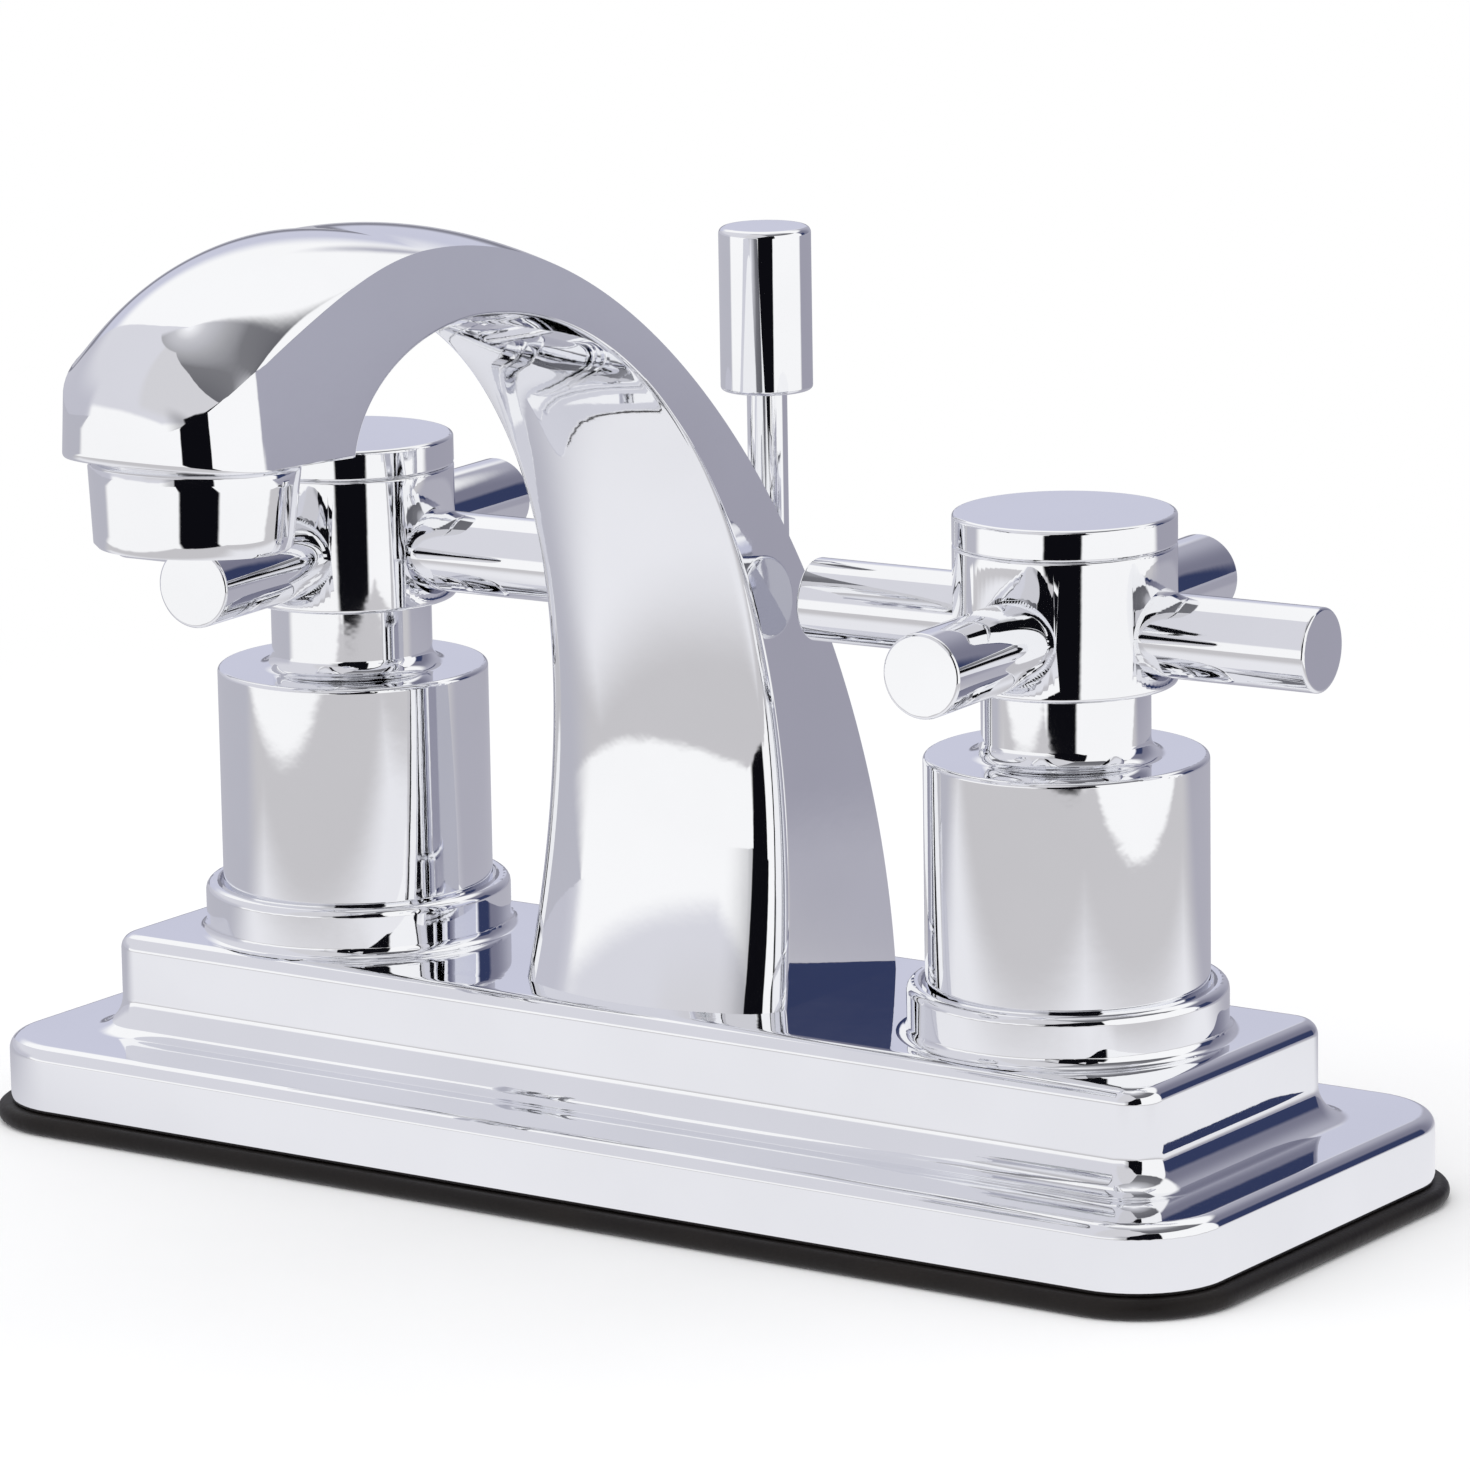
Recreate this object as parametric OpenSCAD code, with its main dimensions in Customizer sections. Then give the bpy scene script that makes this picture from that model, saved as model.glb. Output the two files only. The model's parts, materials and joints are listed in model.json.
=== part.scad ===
// Centerset bathroom faucet: two cross handles and an arched spout on a stepped deck plate.
// The origin is the centre of the gasket's underside, on the basin's deck. +Z is up, the spout
// reaches towards -Y and the handles stand on the X axis.

/* [Deck plate] */
// Distance between the two handle axes
handle_spacing = 101.6; // [98:0.1:106]
// Length of the lower step of the deck plate
lower_l = 169.5; // [160:0.5:180]
// Width of the lower step
lower_w = 66.6; // [60:0.2:74]
// Corner radius of the lower step in plan
lower_r = 11; // [6:0.5:16]
// Height of the lower step above the gasket
lower_h = 8.2; // [6:0.1:11]
// Length of the upper step
upper_l = 147.2; // [142:0.2:152]
// Width of the upper step
upper_w = 41; // [40:0.2:46]
// Corner radius of the upper step in plan
upper_r = 4; // [2.5:0.1:7]
// Height of the upper step above the lower one
upper_h = 11.6; // [10:0.1:15]
// Round along the top edges of both steps
step_round = 1.8; // [0.8:0.1:2.2]
// Radius of the hollow curve where the upper step meets the lower one
step_cove = 4; // [2:0.1:5]
// Wall of the hollow deck plate
plate_wall = 2.4; // [1.8:0.1:3]
// Thickness of the rubber gasket
gasket_t = 2.3; // [1.5:0.1:4]
// How far the gasket stands out past the plate
gasket_lip = 1.7; // [0.5:0.1:3]

/* [Handle rings and bells] */
// Radius of the raised ring round each bell
ring_r = 18.5; // [17.6:0.1:19.8]
// Height of the raised ring above the deck
ring_h = 6; // [4.5:0.1:7.5]
// Hollow curve where the ring meets the deck
ring_cove = 1.3; // [0.6:0.1:1.6]
// Depth of the recess inside the ring
recess_d = 3; // [2:0.1:3.6]
// Outer radius of the bell
bell_r = 16.35; // [15.8:0.05:16.8]
// Height of the bell's top above the deck
bell_h = 32.4; // [29:0.2:35]
// Wall of the bell
bell_wall = 1.7; // [1.2:0.1:2]
// Gap between the bell and the ring
bell_gap = 0.4; // [0.2:0.05:0.6]
// Radius of the collar on top of the bell
collar_r = 9.7; // [9.4:0.05:10.4]
// Hollow curve at the foot of the collar
collar_cove = 2; // [1:0.1:3]

/* [Handles] */
// Radius of the handle's hub
hub_r = 12.8; // [12.4:0.05:14]
// Height of the hub with its cap
hub_h = 19.7; // [18.5:0.1:22]
// Gap between the bell's top and the hub's underside
hub_lift = 8.3; // [7:0.1:10]
// Thickness of the cap on the hub
cap_t = 3.6; // [2.5:0.1:4.4]
// Radius of each arm
arm_r = 4.85; // [4:0.05:5]
// Reach of an arm from the handle's axis
arm_reach = 32.75; // [28:0.25:33]
// Height of the arms above the hub's underside
arm_z = 6.6; // [6.4:0.1:7.4]
// Width of the gap round an arm where it enters the hub
arm_gap = 0.45; // [0.2:0.05:0.6]
// Angle at which both handles stand when shut
handle_angle = 3; // [-5:1:5]

/* [Spout] */
// Half width of the spout at the deck
foot_half_w = 18.1; // [17:0.1:19]
// How much each side face leans in for each millimetre of height
side_draft = 0.072; // [0.06:0.002:0.08]
// Where the spout's back edge stands on the deck
foot_back = 13.9; // [13.4:0.1:14.4]
// Where the spout's front edge stands on the deck
foot_front = -12; // [-13:0.1:-11]
// Distance of the arch's highest edge in front of the handle axes
crest_y = 66; // [62:0.5:70]
// Height of the arch's highest edge above the deck
crest_h = 96.1; // [92:0.5:100]
// Thickness of the arch between its highest edge and its underside
arch_t = 8.3; // [7:0.1:11]
// Drop from the arch's highest edge to the head's underside, at the outlet's axis
head_drop = 19.5; // [18.5:0.1:20.5]
// Angle by which the head's underside and the outlet look forwards
outlet_tilt = 3.5; // [0:0.5:6]
// Bulge of the spout's top across its width
crown = 2.4; // [1:0.1:3.5]
// Bulge of the spout's back at the deck
back_bulge = 4.6; // [4.3:0.1:5]
// Bulge of the column's front face at the deck
front_bulge = 4.6; // [3:0.1:5.5]
// Bulge of the arch's underside
under_bulge = 1.6; // [0.5:0.1:2.5]
// Radius of the column's upright front edges
front_edge_r = 3; // [1.5:0.1:3.6]
// Distance of the outlet's axis in front of the handle axes
outlet_y = 93.2; // [92.6:0.1:94]
// Distance of the nose's tip in front of the handle axes
nose_y = 106.4; // [105.8:0.1:107.4]
// Distance in front of the handle axes at which the side faces turn into the nose
nose_start = 95.7; // [95:0.1:96.5]
// Height of the nose's brow line above the head's underside, at the middle
lip_h = 3.3; // [2.6:0.1:4.2]
// Height of the brow line above the head's underside, at the sides
brow_h = 11.1; // [9:0.1:12]
// Round along the nose's lower edge
head_round = 1.3; // [0.6:0.1:1.6]

/* [Aerator] */
// Outer radius of the aerator's collar at its top
aerator_r = 11.4; // [11.2:0.05:11.8]
// Outer radius of the collar at its lower rim
aerator_low_r = 10.7; // [10.5:0.05:11]
// Height of the collar
aerator_h = 9.2; // [7:0.1:11]
// Radius of the aerator's screw thread
aerator_thread_r = 10.2; // [10:0.05:10.4]

/* [Lift rod] */
// Radius of the lift rod
rod_r = 2.38; // [2:0.02:2.5]
// Distance of the rod behind the handle axes
rod_y = 15.2; // [15:0.1:15.6]
// Radius of the knob
knob_r = 5.45; // [4.5:0.05:6]
// Height of the knob
knob_h = 19.4; // [15:0.1:24]
// Height of the knob's underside above the deck, when pulled up
knob_lift = 67.8; // [60:0.2:75]
// Length of the rod below the deck
rod_below = 62; // [50:1:80]

/* [Valves and fixings] */
// Radius of the inlet shank's thread
shank_r = 10.4; // [10:0.05:10.6]
// Length of the inlet shanks below the gasket
shank_l = 48; // [40:1:60]
// Radius of the supply thread at the shank's lower end
supply_r = 10.2; // [9.8:0.05:10.2]
// Length of the supply thread
supply_l = 14; // [10:0.5:16]
// Radius of the shank's bore
shank_bore_r = 6.5; // [5.5:0.1:7]
// Outer radius of the valve cartridge
cartridge_r = 9.2; // [8.8:0.05:9.4]
// Radius of the turning stem
stem_r = 5.5; // [5:0.05:5.8]
// Radius of the stem's splined end
spline_r = 4; // [3.6:0.05:4.2]
// Running clearance of a shaft in its bore
run_gap = 0.05; // [0.03:0.01:0.08]
// Clearance of a screwed or seated piece
seat_gap = 0.04; // [0.02:0.01:0.06]
// Thickness of the basin deck that the nuts are drawn up to
basin_t = 22; // [15:0.5:28]

/* [Hidden] */

// A hair past a face, so that a cut leaves no skin and a joined piece no crack
eps = 0.01;
// Clearance of a hole round what passes through it
hole_gap = 0.3;
// Small round on a turned edge
edge_round = 0.5;
// Half the handle spacing
handle_x = handle_spacing / 2;
// Levels of the arch above the deck
under_h = crest_h - arch_t;
head_h = crest_h - head_drop;
// Levels of the deck plate
plate_z = gasket_t;
lower_z = plate_z + lower_h;
deck_z = lower_z + upper_h;
// Levels of the ring and the bell
ring_z = deck_z + ring_h;
recess_z = ring_z - recess_d;
bell_z = deck_z + bell_h;
recess_r = bell_r + bell_gap;
ring_round = 1.1;
plate_foot_round = 0.6;
bell_round = 0.6;
bell_top_wall = 2.4;
collar_h = hub_lift + 0.8;
// Levels of the handle
hub_z = bell_z + hub_lift;
cap_z = hub_z + hub_h - cap_t;
hub_top = hub_z + hub_h;
arm_level = hub_z + arm_z;
arm_seat = hub_r - 2;
arm_spigot_r = 3;
arm_spigot_in = 6;
arm_end_round = 0.4;
hub_seam = 0.35;
cap_plug = 3;
hub_socket_r = collar_r + 0.4;
hub_socket_d = 1.2;
screw_well_r = 8;
screw_well_z = cap_z - 4;
screw_head_r = 4.5;
screw_head_h = 2.6;
screw_r = 2;
screw_l = 14;
key_r = 1.6;
key_d = 1.5;
// Levels of the valve
barrel_r = 11;
barrel_top = deck_z + 12;
valve_floor = plate_z + 6;
seal_h = 2.4;
disc_h = 2.8;
disc_r = 7.9;
disc_gap = 0.3;
disc_port_r = 2;
side_port_r = 2.4;
fixed_z = valve_floor + seal_h;
turning_z = fixed_z + disc_h + disc_gap;
stem_foot = turning_z + disc_h;
stem_flange_h = 3;
stem_flange_r = 7.5;
chamber_r = disc_r + seat_gap;
chamber_top = stem_foot + stem_flange_h + disc_gap;
hex_h = 5;
neck_r = 8;
neck_top = hub_z - 1.5;
stem_top = screw_well_z - 0.3;
spline_z = neck_top + 0.8;
// The tube between the two valves and the socket in the middle of it
cross_z = plate_z + 9;
cross_r = 6;
cross_bore_r = 4;
socket_out_r = 10;
socket_top = deck_z - plate_wall - 0.4;
stub_r = 7.6;
stub_foot = cross_z - 1;
seal_z = cross_z + 3.2;
seal_ring_r = 0.9;
// Screws that hold the spout to the plate
fix_x = 13;
fix_y = -7.5;
fix_r = 2.4;
fix_head_r = 3.8;
fix_head_h = 2.6;
fix_l = 12;
// Nuts
nut_flat_r = 14;
plate_nut_h = 4;
shank_nut_r = 17;
shank_nut_h = 8;
washer_r = 19;
washer_t = 2;
// Outlet
head_z = deck_z + head_h;
outlet_bore_r = aerator_thread_r + seat_gap;
outlet_bore_d = 6;
outlet_shift = 4;
collar_wall = 1.6;
aerator_gap = 0.4;
washer_room = 1.4;
insert_lift = 2.4;
insert_h = 6;
rim_bevel = 0.5;
screen_t = 1.6;
washer_gap = 0.2;
washer_w = 3;
jet_rings = 3;
jet_pitch = 2.5;
jet_r = 0.6;
// Rod
rod_bore_r = rod_r + run_gap;
knob_z = deck_z + knob_lift;
knob_round = 0.8;
knob_socket_d = 11.6;
plate_rod_hole_r = rod_r + 0.9;

// Radius of the waterway inside the spout, and its least wall
passage_r = 5.4;
passage_wall = 1.4;
passage_sides = 12;

// How much higher the dome's guide point stands than the crest
dome_rise = 1.7;
// How much later the brow line drops than it comes forward, 0 for a straight drop
brow_lag = 0.5;
// Number of rings along the spout's column, and along its head
column_rings = 36;
head_rings = 16;
// Points across the spout's top and its front face
top_cuts = 12;
front_cuts = 14;
// Rings down the nose's wall and round its lower edge
lip_rings = 3;

$fn = 96;

// Curves

// Point at t on a cubic curve through p[0] and p[3]
function bezier(p, t) =
    pow(1 - t, 3) * p[0] + 3 * t * pow(1 - t, 2) * p[1] + 3 * t * t * (1 - t) * p[2] + pow(t, 3) * p[3];

// Half width of the spout at a height
function half_width(z) = foot_half_w - side_draft * (z - deck_z);

// Height of the head's tilted underside at a place along Y
function head_plane(y) = head_z - tan(outlet_tilt) * (y + outlet_y);

// Back and top edge of the spout, from the deck to the crest and from the crest to the nose
back_curve = [
    [foot_back, deck_z],
    [foot_back + 1.1, deck_z + 0.477 * crest_h],
    [-crest_y / 3, deck_z + crest_h],
    [-crest_y, deck_z + crest_h]
];
// Side edge of the head's top, from the crest to the nose's corner
brow_curve = [
    back_curve[3],
    [-crest_y - 10, deck_z + crest_h],
    [-nose_start + 10, deck_z + crest_h - 4.4],
    [-nose_start, head_plane(-nose_start) + brow_h]
];
// Front edge and underside, from the deck to the top of the opening and on to the head
throat_y = crest_y - 8;
throat_back = -outlet_y + 11.9;
front_curve = [
    [foot_front, deck_z],
    [foot_front + 13, deck_z + 0.56 * under_h],
    [foot_front - 9, deck_z + under_h - 1.2],
    [-throat_y, deck_z + under_h]
];
throat_curve = [
    front_curve[3],
    [-throat_y - 12, deck_z + under_h],
    [throat_back + 2, head_plane(throat_back) + 6.5],
    [throat_back, head_plane(throat_back)]
];
// Middle line of the head's top, from the crest to the nose's tip
ridge_curve = [
    back_curve[3] + crown * (back_curve[3] - front_curve[3]) / norm(back_curve[3] - front_curve[3]),
    [-crest_y - 15, deck_z + crest_h + crown + dome_rise],
    [-nose_y - 0.8, deck_z + crest_h + crown / 2],
    [-nose_y, head_plane(-nose_y) + lip_h]
];

// Bulge of a face across its width, 1 in the middle and 0 at the edges
function bulge(k) = 1 - k * k;

// How far a rounded upright edge falls back at x on a face of half width w
function edge_fall(x, w, r) = abs(x) <= w - r ? 0 : r - sqrt(max(0, r * r - pow(abs(x) - w + r, 2)));

// Share of the way across a face for point i of n, closer together near the edges
function across(i, n) = sin(90 * (2 * i / n - 1));

// Points across the front face or the underside, at one front point and the back point behind it.
// along is 0 at the deck and 1 at the crest.
function front_points(front, back, along) =
    let (
        dir = (back - front) / norm(back - front),
        w = half_width(front[1]),
        sag = front_bulge + (under_bulge - front_bulge) * min(1, along * 1.4),
        r = front_edge_r * max(0.15, 1 - along * 1.4)
    )
    [for (i = [0 : front_cuts])
        let (
            k = across(i, front_cuts),
            p = front + dir * (edge_fall(k * w, w, r) - sag * bulge(k))
        )
        [k * half_width(p[1]), p[0], p[1]]];

// Rise of the top across its width, 0 at the edges. It turns from a shallow arch at m = 0 into the
// full round of the nose at m = 1.
function swell(k, m) = pow(max(0, 1 - pow(abs(k), 2 + 0.4 * m)), 1 - 0.583 * m);

// Points across the back or the top, from a side edge over the middle line to the other edge
function top_points(edge, middle, m) = [
    for (i = [0 : top_cuts])
        let (
            k = -across(i, top_cuts),
            s = swell(k, m),
            y = edge[0] + (middle[0] - edge[0]) * s,
            z = edge[1] + (middle[1] - edge[1]) * pow(s, 1 + brow_lag * m)
        )
        [k * half_width(z), y, z]
];

// Points round the nose's wall, at a height above the head's underside and pulled in by inset
function nose_points(h, inset) = top_points(
    [-nose_start, head_plane(-nose_start) + h * 0.1],
    [-nose_y + inset, head_plane(-nose_y) + h],
    1
);

// Middle line of the spout's back, at a share t of the column's height
function back_middle(t) =
    let (
        front = bezier(front_curve, t),
        back = bezier(back_curve, t)
    )
    back + (back - front) / norm(back - front) * (back_bulge + (crown - back_bulge) * min(1, t * 2));

// Ring j of the spout: the column, then the head, then the nose's wall and lower edge
function spout_ring(j) =
    j <= column_rings
        ? let (t = j / column_rings)
            concat(
                front_points(bezier(front_curve, t), bezier(back_curve, t), t),
                top_points(bezier(back_curve, t), back_middle(t), 0)
            )
        : let (
            n = j - column_rings,
            t = n / head_rings,
            u = n / (head_rings + lip_rings),
            front = bezier(throat_curve, u),
            lip = max(0, n - head_rings),
            fade = lip_rings - lip
        )
            concat(
                lip == lip_rings ? foot_points() : front_points(front, bezier(brow_curve, min(1, t)), 1),
                lip == 0 ? top_points(bezier(brow_curve, t), bezier(ridge_curve, t), t * t)
                    : nose_points(head_round * (1 - cos(45 * fade)), head_round * (1 - sin(45 * fade)))
            );

// The back edge of the head's flat underside
function foot_points() = [
    for (i = [0 : front_cuts])
        let (
            k = across(i, front_cuts),
            y = throat_back + under_bulge * bulge(k),
            z = head_plane(y)
        )
        [k * half_width(z), y, z]
];

// One ring of the waterway inside the spout
function passage_ring(front, back) =
    let (
        dir = (back - front) / norm(back - front),
        mid = (front + back) / 2,
        half_t = min(passage_r, norm(back - front) / 2 - passage_wall)
    )
    [for (i = [0 : passage_sides - 1])
        let (
            a = 360 * i / passage_sides,
            p = mid + dir * half_t * sin(a)
        )
        [passage_r * cos(a), p[0], p[1]]
    ];

// Front and back edge at ring j of the waterway
function passage_edges(j) =
    j <= column_rings
        ? [bezier(front_curve, j / column_rings), bezier(back_curve, j / column_rings)]
        : let (t = (j - column_rings) / head_rings)
            [bezier(throat_curve, t), bezier(brow_curve, t)];

// Triangles between rings of n points, with the two end caps
function tube_faces(rings, n) = concat(
    [[for (i = [0 : n - 1]) i]],
    [for (j = [0 : rings - 2], i = [0 : n - 1])
        let (
            a = j * n + i,
            b = j * n + (i + 1) % n
        )
        each [[a, a + n, b + n], [a, b + n, b]]],
    [[for (i = [n - 1 : -1 : 0]) (rings - 1) * n + i]]
);

// Flat shapes

// Rounded rectangle in plan
module plan(l, w, r) {
    square([l - 2 * r, w], center = true);
    square([l, w - 2 * r], center = true);
    for (sx = [-1, 1], sy = [-1, 1])
        translate([sx * (l / 2 - r), sy * (w / 2 - r)])
            circle(r);
}

// What a round of radius r takes off the outer top corner at [x, z]
module top_corner(x, z, r) {
    translate([x - r, z - r])
        difference() {
            square(r + eps);
            circle(r);
        }
}

// What a round of radius r takes off the outer bottom corner at [x, z]
module low_corner(x, z, r) {
    translate([x - r, z + r])
        difference() {
            translate([0, -r - eps])
                square(r + eps);
            circle(r);
        }
}

// What a hollow curve of radius r adds between a floor and an outer wall that meet at [x, z]
module foot_cove(x, z, r) {
    translate([x + r, z + r])
        difference() {
            translate([-r - eps, -r])
                square([r + eps, r]);
            circle(r);
        }
}

// A slab whose edge is the profile given as its child, with x measured from the corner's centre
module edged_slab(l, w, r, z0, z1) {
    run_x = l - 2 * r;
    run_y = w - 2 * r;
    for (q = [0 : 3])
        rotate([0, 0, 90 * q])
            translate([(q % 2 == 0 ? run_x : run_y) / 2, (q % 2 == 0 ? run_y : run_x) / 2, 0])
                rotate_extrude(angle = 90)
                    children();
    for (q = [0 : 3])
        rotate([0, 0, 90 * q])
            translate([(q % 2 == 0 ? run_x : run_y) / 2, (q % 2 == 0 ? run_y : run_x) / 2, 0])
                rotate([90, 0, 0])
                    linear_extrude(q % 2 == 0 ? run_y : run_x)
                        children();
    translate([-run_x / 2 - eps, -run_y / 2 - eps, z0])
        cube([run_x + 2 * eps, run_y + 2 * eps, z1 - z0]);
}

// Both handles' places, with side -1 on the left and 1 on the right
module at_handle(side) {
    translate([side * handle_x, 0, 0])
        children();
}

// The middle of the head's underside, with Z along the outlet's axis
module at_outlet() {
    translate([0, -outlet_y, head_z])
        rotate([-outlet_tilt, 0, 0])
            children();
}

// A tube on the Z axis
module tube(z0, z1, r_out, r_in) {
    translate([0, 0, z0])
        difference() {
            cylinder(h = z1 - z0, r = r_out);
            translate([0, 0, -eps])
                cylinder(h = z1 - z0 + 2 * eps, r = r_in);
        }
}

// A hexagon nut on the Z axis
module nut(z0, h, r_corner, r_in) {
    translate([0, 0, z0])
        difference() {
            cylinder(h = h, r = r_corner, $fn = 6);
            translate([0, 0, -eps])
                cylinder(h = h + 2 * eps, r = r_in);
        }
}

// Deck plate and gasket

module gasket() {
    lip_r = gasket_t / 2 - eps;
    color("#161412")
        difference() {
            edged_slab(lower_l + 2 * gasket_lip, lower_w + 2 * gasket_lip, lower_r + gasket_lip, 0, gasket_t)
                difference() {
                    square([lower_r + gasket_lip, gasket_t]);
                    top_corner(lower_r + gasket_lip, gasket_t, lip_r);
                    low_corner(lower_r + gasket_lip, 0, lip_r);
                }
            for (side = [-1, 1])
                at_handle(side)
                    translate([0, 0, -eps])
                        cylinder(h = gasket_t + 2 * eps, r = barrel_r + 1);
            translate([0, rod_y, -eps])
                cylinder(h = gasket_t + 2 * eps, r = plate_rod_hole_r + 1);
        }
}

// The raised ring round a bell, as a turned profile
module ring_profile() {
    difference() {
        union() {
            translate([0, deck_z - plate_wall])
                square([ring_r, ring_h + plate_wall]);
            foot_cove(ring_r, deck_z, ring_cove);
        }
        top_corner(ring_r, ring_z, ring_round);
    }
}

module deck_plate() {
    cavity_l = upper_l - 2 * plate_wall;
    cavity_w = upper_w - 2 * plate_wall;
    color("#d9dbe4")
        difference() {
            union() {
                edged_slab(lower_l, lower_w, lower_r, plate_z, lower_z)
                    difference() {
                        translate([0, plate_z])
                            square([lower_r, lower_h]);
                        top_corner(lower_r, lower_z, step_round);
                        low_corner(lower_r, plate_z, plate_foot_round);
                    }
                edged_slab(upper_l, upper_w, upper_r, lower_z - 1, deck_z)
                    difference() {
                        union() {
                            translate([0, lower_z - 1])
                                square([upper_r, upper_h + 1]);
                            foot_cove(upper_r, lower_z, step_cove);
                        }
                        top_corner(upper_r, deck_z, step_round);
                    }
                for (side = [-1, 1])
                    at_handle(side)
                        rotate_extrude()
                            ring_profile();
            }
            // The hollow underside, in two steps
            translate([0, 0, plate_z - eps])
                linear_extrude(lower_h - plate_wall + eps)
                    plan(lower_l - 2 * plate_wall, lower_w - 2 * plate_wall, lower_r - plate_wall);
            translate([0, 0, plate_z - eps])
                linear_extrude(deck_z - plate_wall - plate_z + eps)
                    plan(cavity_l, cavity_w, max(1, upper_r - plate_wall));
            for (side = [-1, 1])
                at_handle(side) {
                    translate([0, 0, plate_z])
                        cylinder(h = ring_z, r = barrel_r + hole_gap);
                    translate([0, 0, recess_z])
                        cylinder(h = recess_d + eps, r = recess_r);
                }
            // Holes for the spout's stub, its screws and the lift rod
            translate([0, 0, plate_z])
                cylinder(h = deck_z, r = stub_r + hole_gap);
            for (sx = [-1, 1])
                translate([sx * fix_x, fix_y, plate_z])
                    cylinder(h = deck_z, r = fix_r + hole_gap);
            translate([0, rod_y, plate_z])
                cylinder(h = deck_z, r = plate_rod_hole_r);
        }
}

// Spout

module spout_skin() {
    rings = column_rings + head_rings + lip_rings + 1;
    n = front_cuts + top_cuts + 2;
    points = [for (j = [0 : rings - 1]) each spout_ring(j)];
    polyhedron(points = points, faces = tube_faces(rings, n), convexity = 6);
}

module spout_passage() {
    stops = [1, for (j = [2 : 2 : column_rings + head_rings - 4]) j];
    points = [
        for (j = stops)
            let (e = passage_edges(j))
            each passage_ring(e[0], e[1])
    ];
    polyhedron(points = points, faces = tube_faces(len(stops), passage_sides), convexity = 6);
}

module spout() {
    color("#dcdee6")
        difference() {
            union() {
                spout_skin();
                translate([0, 0, stub_foot])
                    cylinder(h = deck_z - stub_foot + 1, r = stub_r);
            }
            translate([0, 0, stub_foot - eps])
                cylinder(h = deck_z - stub_foot + 6, r = passage_r);
            spout_passage();
            at_outlet() {
                translate([0, 0, -1])
                    cylinder(h = outlet_bore_d + 1, r = outlet_bore_r);
                translate([0, outlet_shift, 0])
                    cylinder(h = outlet_bore_d + passage_r, r = passage_r);
            }
            translate([0, rod_y, deck_z - eps])
                cylinder(h = crest_h, r = rod_bore_r);
            for (sx = [-1, 1])
                translate([sx * fix_x, fix_y, deck_z - eps])
                    cylinder(h = fix_l, r = fix_r + seat_gap);
            translate([0, 0, seal_z])
                tube(-seal_ring_r, seal_ring_r, stub_r + 1, stub_r - 1);
        }
}

// Two screws that come up through the plate into the spout's foot
module spout_screws() {
    under = deck_z - plate_wall;
    color("#b9b7ad")
        for (sx = [-1, 1])
            translate([sx * fix_x, fix_y, 0])
                difference() {
                    union() {
                        translate([0, 0, under - fix_head_h])
                            cylinder(h = fix_head_h, r = fix_head_r);
                        translate([0, 0, under - fix_head_h])
                            cylinder(h = fix_head_h + plate_wall + fix_l - 1, r = fix_r);
                    }
                    translate([0, 0, under - fix_head_h - eps])
                        cylinder(h = key_d, r = key_r, $fn = 6);
                }
}

// Seal ring in the groove of the spout's stub, pressed flat by the socket round it
module spout_seal() {
    color("#1d1b1a")
        translate([0, 0, seal_z])
            rotate_extrude()
                intersection() {
                    translate([stub_r - 1 + seal_ring_r, 0])
                        circle(seal_ring_r - seat_gap);
                    translate([0, -seal_ring_r])
                        square([stub_r, 2 * seal_ring_r]);
                }
}

// Aerator, measured from the middle of the head's underside

module aerator_housing() {
    top = -aerator_gap;
    foot = top - aerator_h;
    head = outlet_bore_d - washer_room;
    in_top = aerator_thread_r - collar_wall;
    in_low = aerator_low_r - collar_wall;
    color("#d6d8e0")
        at_outlet()
            rotate_extrude()
                polygon([
                    [in_top, head],
                    [aerator_thread_r, head],
                    [aerator_thread_r, top],
                    [aerator_r - rim_bevel, top],
                    [aerator_r, top - rim_bevel],
                    [aerator_low_r, foot + rim_bevel],
                    [aerator_low_r - rim_bevel, foot],
                    [in_low, foot],
                    [in_low, foot + insert_lift - 1],
                    [in_top, foot + insert_lift]
                ]);
}

// The round insert with the jets, seated on the housing's inner step
module aerator_insert() {
    foot = insert_lift - aerator_gap - aerator_h;
    r = aerator_thread_r - collar_wall - seat_gap;
    color("#c9cdd2")
        at_outlet()
            difference() {
                translate([0, 0, foot])
                    cylinder(h = insert_h, r = r);
                translate([0, 0, foot + screen_t])
                    cylinder(h = insert_h, r = r - 1);
                for (ring = [1 : jet_rings], i = [0 : 6 * ring - 1])
                    rotate([0, 0, 60 * i / ring])
                        translate([jet_pitch * ring, 0, foot - 1])
                            cylinder(h = insert_h, r = jet_r, $fn = 24);
            }
}

module aerator_washer() {
    color("#1d1b1a")
        at_outlet()
            tube(
                outlet_bore_d - washer_room, outlet_bore_d - run_gap,
                aerator_thread_r - washer_gap, aerator_thread_r - washer_gap - washer_w
            );
}

// Lift rod

module lift_rod() {
    color("#d6d8e0")
        translate([0, rod_y, -rod_below])
            cylinder(h = rod_below + knob_z + knob_socket_d, r = rod_r);
}

module lift_knob() {
    color("#d9dbe4")
        translate([0, rod_y, 0])
            rotate_extrude()
                difference() {
                    translate([0, knob_z])
                        square([knob_r, knob_h]);
                    translate([0, knob_z - eps])
                        square([rod_r + seat_gap, knob_socket_d + seat_gap + eps]);
                    top_corner(knob_r, knob_z + knob_h, knob_round);
                    low_corner(knob_r, knob_z, edge_round);
                }
}

// Valves, below and inside the plate

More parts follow.
